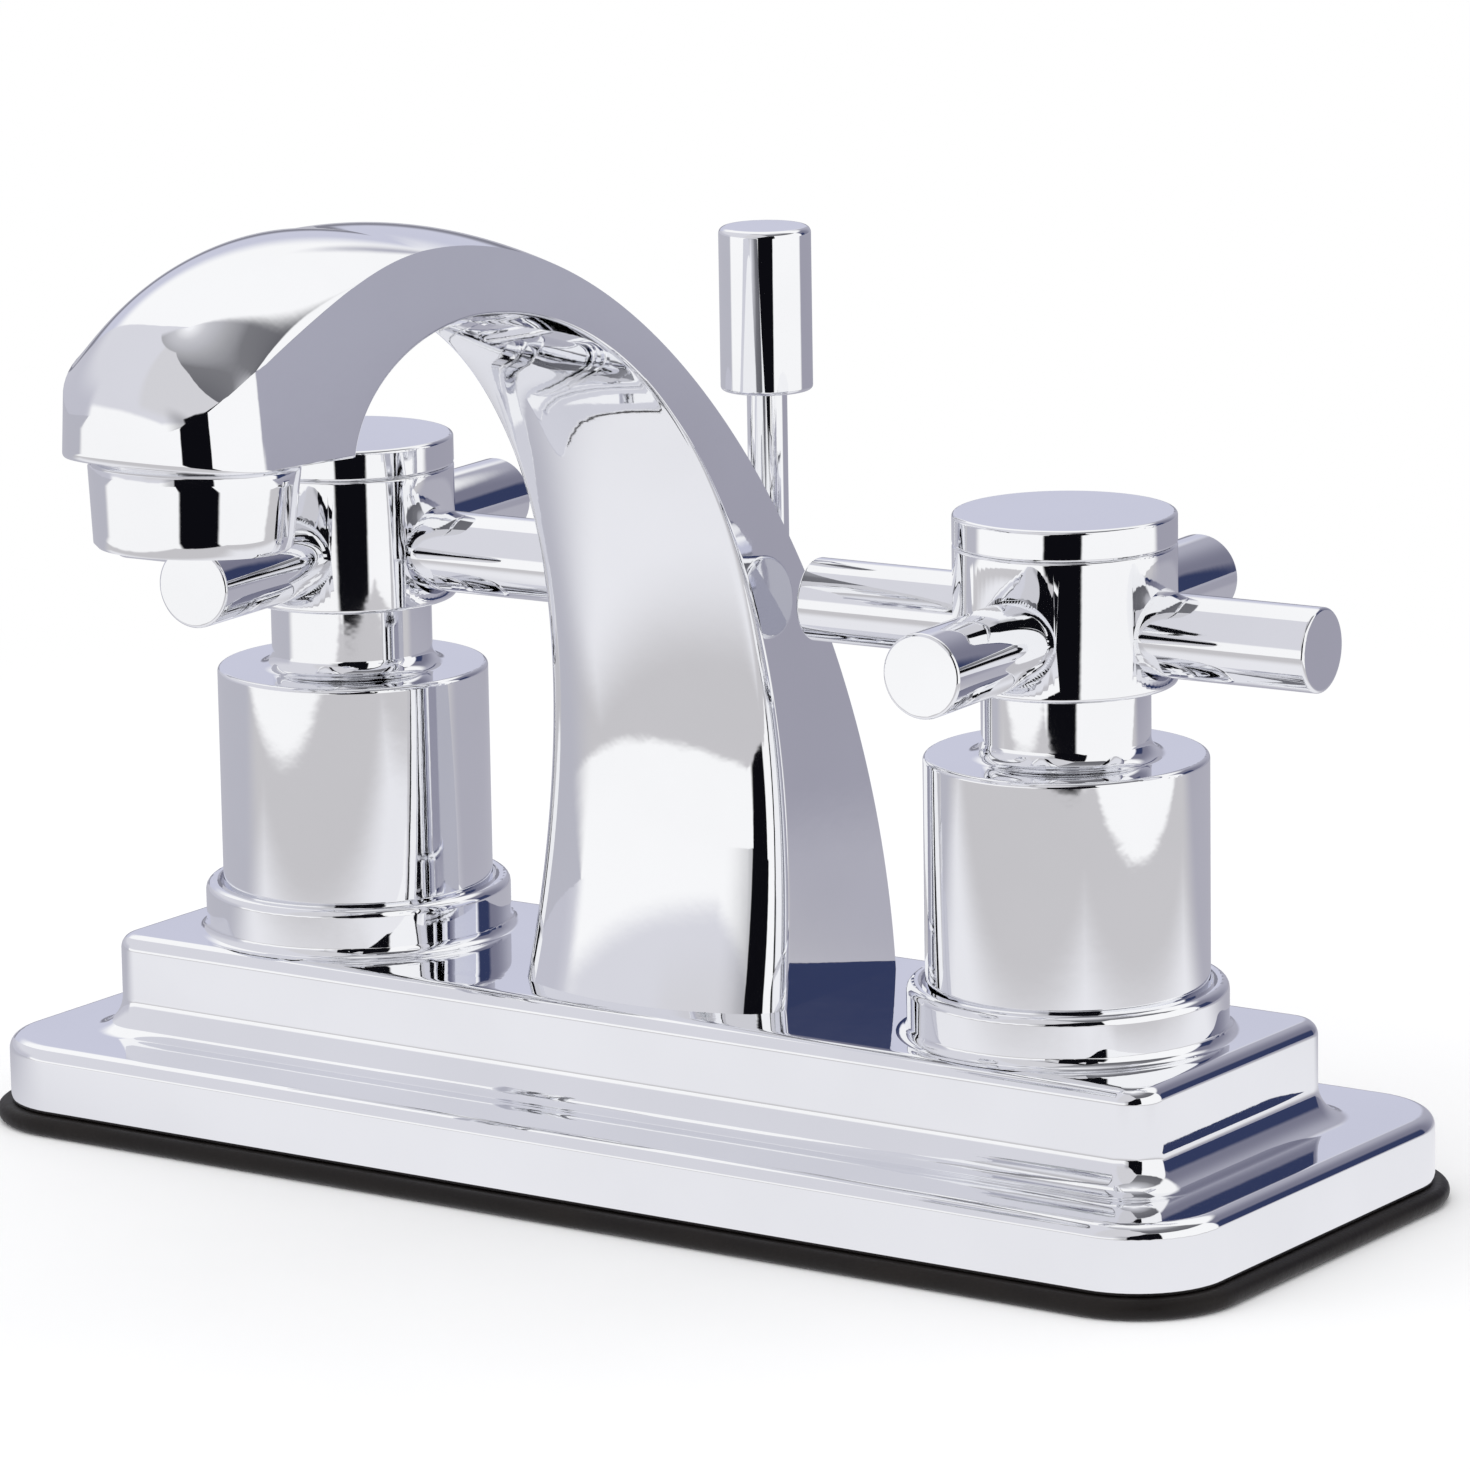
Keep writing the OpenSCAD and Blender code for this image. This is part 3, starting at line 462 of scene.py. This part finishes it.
def cast_spout():
    """The arched spout, finely lofted, with soft polished edges, its outlet and the lift rod's bore."""
    rings = spout_rings(90, 60, 8, 30, 40)
    n = len(rings[0])
    points = [p for ring in rings for p in ring]
    faces = [[i for i in range(n)][::-1], [(len(rings) - 1) * n + i for i in range(n)]]
    for j in range(len(rings) - 1):
        for i in range(n):
            a, b = j * n + i, j * n + (i + 1) % n
            faces.append([a, b, b + n, a + n])
    mesh = tidied(mesh_from(points, faces), 0.01)
    helper = bpy.data.objects.new("helper", mesh)
    bpy.context.scene.collection.objects.link(helper)
    edge = helper.modifiers.new("edge", "BEVEL")
    edge.width, edge.segments, edge.limit_method, edge.angle_limit = 0.3 * MM, 3, "ANGLE", math.radians(38)
    edge.use_clamp_overlap = True
    mesh = evaluated(helper)
    tilt = math.radians(OUTLET_TILT)
    mesh = drill(mesh, (0, ROD_Y, DECK_Z - 1), (0, 0, 1), ROD_BORE_R, ROD_BORE_D)
    outlet_axis = (0, math.sin(tilt), math.cos(tilt))
    below_head = (0, -OUTLET_Y - outlet_axis[1], HEAD_Z - outlet_axis[2])
    mesh = drill(mesh, below_head, outlet_axis, OUTLET_BORE_R, OUTLET_BORE_D)
    return finished(mesh)


put("arched_spout", cast_spout(), CHROME, "faucet", ["spout"])

# The arms are copies of one rod, and the rest that is seen keeps its CAD shape, merged and smoothed

record = frame["record"]
slot_of = {part["node"]: part["material_slot"] for part in record["subparts"]}
body_of = {node: body for body, members in record["behaviour"]["bodies"].items() for node in members}
ARMS = {side: [side + "_arm_" + str(i) for i in (1, 2, 3, 4)] for side in ("left", "right")}
SMOOTHED = [n for n in slot_of if n != "spout" and "_arm_" not in n]
for node in SMOOTHED:
    slot = slot_of[node]
    put("smooth_" + node, cad_copy(node), FINISH_OF_SLOT[slot], body_of[node], [node])


def arm_tree():
    """A tree that sets copies of one turned rod round an upright axis through the origin."""
    tree = bpy.data.node_groups.new("Arms round a hub", "GeometryNodeTree")
    inputs = {}
    sockets = (("Rod", "NodeSocketObject"), ("Arms", "NodeSocketInt"), ("Finish", "NodeSocketMaterial"))
    for name, kind in sockets:
        inputs[name] = tree.interface.new_socket(name, in_out="INPUT", socket_type=kind).identifier
    tree.interface.new_socket("Geometry", in_out="OUTPUT", socket_type="NodeSocketGeometry")
    node = {name: tree.nodes.new(kind) for name, kind in (
        ("given", "NodeGroupInput"), ("places", "GeometryNodePoints"), ("index", "GeometryNodeInputIndex"),
        ("share", "ShaderNodeMath"), ("angle", "ShaderNodeMath"), ("turns", "ShaderNodeCombineXYZ"),
        ("rotation", "FunctionNodeEulerToRotation"), ("rod", "GeometryNodeObjectInfo"),
        ("copies", "GeometryNodeInstanceOnPoints"), ("real", "GeometryNodeRealizeInstances"),
        ("finish", "GeometryNodeSetMaterial"), ("result", "NodeGroupOutput"))}
    node["share"].operation, node["angle"].operation = "DIVIDE", "MULTIPLY"
    node["angle"].inputs[1].default_value = 2 * math.pi
    for a, out, b, into in (
            ("given", "Arms", "places", "Count"), ("index", 0, "share", 0), ("given", "Arms", "share", 1),
            ("share", 0, "angle", 0), ("angle", 0, "turns", "Z"), ("turns", 0, "rotation", 0),
            ("given", "Rod", "rod", "Object"), ("places", 0, "copies", "Points"),
            ("rod", "Geometry", "copies", "Instance"), ("rotation", 0, "copies", "Rotation"),
            ("copies", 0, "real", 0), ("real", 0, "finish", "Geometry"),
            ("given", "Finish", "finish", "Material"), ("finish", 0, "result", 0)):
        tree.links.new(node[a].outputs[out], node[b].inputs[into])
    return tree, inputs


ARM_TREE, ARM_INPUTS = arm_tree()
for side, nodes in ARMS.items():
    way = -1 if side == "left" else 1
    axis = Vector((way * HANDLE_X * MM, 0, 0))
    rod_mesh = cad_copy(nodes[0])
    rod_mesh.transform(Matrix.Translation(-axis))
    rod = bpy.data.objects.new("rod", rod_mesh)
    bpy.context.scene.collection.objects.link(rod)
    helper = bpy.data.objects.new("helper", bpy.data.meshes.new("none"))
    bpy.context.scene.collection.objects.link(helper)
    grown = helper.modifiers.new("arms", "NODES")
    grown.node_group = ARM_TREE
    chrome = FINISH_OF_SLOT["bright_chrome"]
    for name, setting in (("Rod", rod), ("Arms", len(nodes)), ("Finish", chrome)):
        grown[ARM_INPUTS[name]] = setting
    ring = evaluated(helper)
    bpy.data.objects.remove(rod)
    ring.transform(Matrix.Translation(axis))
    put(side + "_arms", ring, chrome, body_of[nodes[0]], nodes)
for node, piece in frame["nodes"].items():
    piece.data.materials.clear()
    piece.data.materials.append(FINISH_OF_SLOT[slot_of[node]])


# Camera

def camera_axes():
    sa, ca = math.sin(CAMERA_TURN), math.cos(CAMERA_TURN)
    se, ce = math.sin(CAMERA_DROP), math.cos(CAMERA_DROP)
    back = Vector((sa * ce, -ca * ce, se))
    right = Vector((ca, sa, 0))
    up = back.cross(right)
    sr, cr = math.sin(CAMERA_ROLL), math.cos(CAMERA_ROLL)
    return right * cr + up * sr, up * cr - right * sr, back


lens = bpy.data.cameras.new("Studio camera")
lens.sensor_width = 36
lens.sensor_fit = "HORIZONTAL"
lens.lens = 36 * FOCAL_PX / PHOTO_PX
lens.shift_x = (PHOTO_PX / 2 - CENTRE_PX[0]) / PHOTO_PX
lens.shift_y = (CENTRE_PX[1] - PHOTO_PX / 2) / PHOTO_PX
lens.clip_start, lens.clip_end = 0.05, 60
camera = bpy.data.objects.new("Studio camera", lens)
right, up, back = camera_axes()
camera.matrix_world = Matrix((
    (right.x, up.x, back.x, CAMERA_AT.x), (right.y, up.y, back.y, CAMERA_AT.y),
    (right.z, up.z, back.z, CAMERA_AT.z), (0, 0, 0, 1)))
bpy.context.scene.collection.objects.link(camera)
bpy.context.scene.camera = camera
bpy.context.scene.view_settings.view_transform = "Standard"

# Floor

TOWARDS = Vector((math.sin(CAMERA_TURN), -math.cos(CAMERA_TURN), 0))
SIDEWAYS = Vector((math.cos(CAMERA_TURN), math.sin(CAMERA_TURN), 0))


def along(f, place, way):
    made = f.add("ShaderNodeVectorMath", {"operation": "DOT_PRODUCT"}, {0: place, 1: tuple(way)})
    return f.value(made, "Value")


def table_floor():
    """A white table. It takes the faucet's shadow, and fades to plain white far from it. Polished metal
    sees a painted reflection on it: a grey sheet that glows for reflections only and ends in front of the
    faucet."""
    material, f = new_finish("White table")
    place = f.place()
    towards, aside = along(f, place, TOWARDS), along(f, place, SIDEWAYS)
    far = (towards * towards + aside * aside) ** 0.5
    fleck = f.noise(place, 30, 3)
    paint = f.colour_mix(fleck, rgb(0.90, 0.90, 0.90), rgb(0.93, 0.93, 0.93))
    matt = f.add("ShaderNodeBsdfDiffuse", None, {"Color": paint})
    white = f.add("ShaderNodeEmission", None, {"Color": rgb(1, 1, 1), "Strength": 1.0})
    paths = f.add("ShaderNodeLightPath")
    camera_ray, glossy_ray = f.value(paths, "Is Camera Ray"), f.value(paths, "Is Glossy Ray")
    whiteness = camera_ray * far.step(0.13, 0.34)
    seen = f.add("ShaderNodeMixShader", None, {0: whiteness, 1: matt.outputs[0], 2: white.outputs[0]})
    # painted reflection of a pale grey sheet, with painted light that makes it brighter close to the plate,
    # and grey-blue behind it
    split = f.add("ShaderNodeSeparateXYZ", None, {0: place})
    x, y = f.value(split, 0), f.value(split, 1)
    off_plate = (x.size() - 0.085).high(y.size() - 0.033)
    sheet = f.colour_mix(off_plate.step(0.05, 0.12), rgb(0.86, 0.86, 0.89), rgb(0.60, 0.59, 0.605))
    behind = (towards + aside.size() * 0.10).step(0.02, -0.05)
    rear = f.colour_mix(aside.step(-0.10, 0.10), rgb(0.50, 0.50, 0.56), rgb(0.44, 0.435, 0.50))
    rear = f.colour_mix(far.step(0.25, 0.36) * aside.step(0, 0.1), rear, rgb(0.36, 0.355, 0.425))
    rear = f.colour_mix(far.step(0.7, 1.5) * aside.step(0, 0.1), rear, rgb(0.40, 0.40, 0.475))
    sheet = f.colour_mix(behind, sheet, rear)
    # beyond the sheet's edge the painted reflection is white at the sides, with a painted dark gap straight
    # ahead
    spread = towards * 0.30
    gap = (aside + spread + 0.005).step(-0.012, 0.012) * (aside - spread * 1.35 + 0.03).step(0.012, -0.012)
    right_edge = (aside * 0.839 + towards * 0.545 - 0.257).step(-0.004, 0.008)
    left_edge = (towards * 0.5 - aside * 0.866 - 0.245).step(-0.012, 0.012)
    off_sheet = towards.step(0.275, 0.29).high(right_edge).high(left_edge) * (1.0 - behind)
    beyond = f.colour_mix(gap, rgb(1.0, 1.0, 1.0), rgb(0.004, 0.004, 0.006))
    # painted reflection: a glow that only polished metal sees, in place of the lit table and what lies beyond
    # it
    painted_reflection = f.add("ShaderNodeEmission", None, {"Color": f.colour_mix(off_sheet, sheet, beyond)})
    both = f.add("ShaderNodeMixShader", None, {0: glossy_ray, 1: seen.outputs[0], 2: painted_reflection.outputs[0]})
    f.surface(both.outputs[0])
    return material


TABLE_REACH = 9000
TABLE_CORNERS = ((-1, -1), (1, -1), (1, 1), (-1, 1))
floor_mesh = mesh_from([(TABLE_REACH * x, TABLE_REACH * y, 0) for x, y in TABLE_CORNERS], [[0, 1, 2, 3]])
floor_mesh.materials.append(table_floor())
floor = bpy.data.objects.new("Table", floor_mesh)
bpy.context.scene.collection.objects.link(floor)


# Light

def studio_world():
    """Plain white to the eye. Polished metal sees two white softboxes with a dark gap between them,
    grey walls and a dark blue corner behind."""
    world = bpy.data.worlds.new("Studio")
    world.use_nodes = True
    f = Finish(world.node_tree)
    way = f.add("ShaderNodeTexCoord").outputs["Generated"]
    towards, aside = along(f, way, TOWARDS), along(f, way, SIDEWAYS)
    height = along(f, way, (0, 0, 1))
    turn = aside._math("ARCTAN2", towards) * (180 / math.pi)
    rise = height._math("ARCSINE") * (180 / math.pi)
    # the room behind: white overhead, lavender lower down, dark along the skirting
    low_rear = f.colour_mix(rise.step(3, 8), rgb(0.24, 0.24, 0.29), rgb(0.60, 0.61, 0.73))
    colour = f.colour_mix(rise.step(16, 32), low_rear, rgb(1.0, 1.0, 1.0))
    # behind on the right: a grey wall with a dark blue corner
    past_corner = turn.step(117, 122).high(rise.step(18, 24))
    right_wall = f.colour_mix(past_corner, rgb(0.035, 0.047, 0.115), rgb(0.20, 0.20, 0.27))
    right_wall = f.colour_mix(turn.step(122, 165), right_wall, rgb(0.42, 0.42, 0.50))
    on_right = turn.step(103, 106) * turn.step(174, 166)
    colour = f.colour_mix(on_right * rise.step(42, 34), colour, right_wall)
    # left: a light grey panel that stands on a white sweep, up to a slanting seam behind
    panel = (turn - rise * 0.65 + 160.9).step(-0.7, 0.7) * turn.step(12, 8)
    upper_right = rise.step(8, 18) * turn.step(-60, -50)
    tint = f.colour_mix(upper_right, rgb(0.72, 0.72, 0.77), rgb(0.68, 0.675, 0.70))
    tint = f.colour_mix(turn.step(-92, -104) * rise.step(24, 6), tint, rgb(0.56, 0.56, 0.63))
    colour = f.colour_mix(panel, colour, tint)
    sweep = (rise - 8 - (turn + 31) * 0.45).low(rise - 6)
    on_sweep = turn.step(-99, -93) * turn.step(0, -5) * sweep.step(2, -2)
    colour = f.colour_mix(on_sweep, colour, rgb(1.0, 1.0, 1.0))
    # right: a white softbox
    colour = f.colour_mix(turn.step(8, 11) * turn.step(104.5, 101.5), colour, rgb(1.0, 1.0, 1.0))
    # above them a ceiling that is dark at its rim and pales upwards
    ceiling = f.add("ShaderNodeValToRGB", {"stops": [
        (0.0, (0.14, 0.14, 0.155)), (0.41, (0.20, 0.20, 0.215)), (0.477, (0.30, 0.30, 0.32)),
        (0.59, (0.41, 0.41, 0.43)), (0.68, (0.49, 0.49, 0.52)), (0.82, (0.60, 0.60, 0.63)),
        (0.955, (0.85, 0.85, 0.87)), (1.0, (0.95, 0.95, 0.97))]},
        {0: rise.share(44, 88)}).outputs[0]
    brink = (56.5 - turn * 0.58).low(56.5 - turn * 1.4).low(70)
    above = (rise - brink).step(-0.7, 0.7) * turn.step(-100, -84) * turn.step(107, 96) * rise.step(40, 43)
    colour = f.colour_mix(above, colour, ceiling)
    # straight ahead: a dark gap whose top runs up to the right, beside a soft shade
    shade = turn.step(-34, -20) * turn.step(-10, -19) * rise.step(26, 14)
    colour = f.colour_mix(shade * 0.6, colour, rgb(0.25, 0.25, 0.27))
    under_slope = (rise - turn * 0.9 - 33.5).step(0.6, -0.6)
    gap = turn.step(-19, -17) * turn.step(26, 24) * under_slope * rise.step(41.5, 40)
    colour = f.colour_mix(gap, colour, rgb(0.004, 0.004, 0.006))
    paths = f.add("ShaderNodeLightPath")
    glossy_ray = f.value(paths, "Is Glossy Ray")
    camera_ray = f.value(paths, "Is Camera Ray")
    plain = f.colour_mix(camera_ray, rgb(0.80, 0.80, 0.81), rgb(1, 1, 1))
    shown = f.colour_mix(glossy_ray, plain, colour)
    made = f.add("ShaderNodeBackground", None, {"Color": shown, "Strength": 1.0})
    f.add("ShaderNodeOutputWorld", None, {"Surface": made.outputs[0]})
    bpy.context.scene.world = world


def softbox(name, place, size, power):
    """A broad lamp that lights the matt pieces and the table."""
    lamp = bpy.data.lights.new(name, "AREA")
    lamp.shape, lamp.size, lamp.energy = "SQUARE", size, power
    made = bpy.data.objects.new(name, lamp)
    made.location = place
    made.rotation_euler = (Vector((0, 0, 0.05)) - Vector(place)).to_track_quat("-Z", "Y").to_euler()
    made.visible_glossy = False
    made.visible_camera = False
    bpy.context.scene.collection.objects.link(made)


studio_world()
softbox("Overhead softbox", (0.1, -0.2, 1.5), 1.6, 9)
softbox("Left softbox", (-1.0, -1.0, 0.9), 1.0, 5)

# Last update of the scene

bpy.context.view_layer.update()
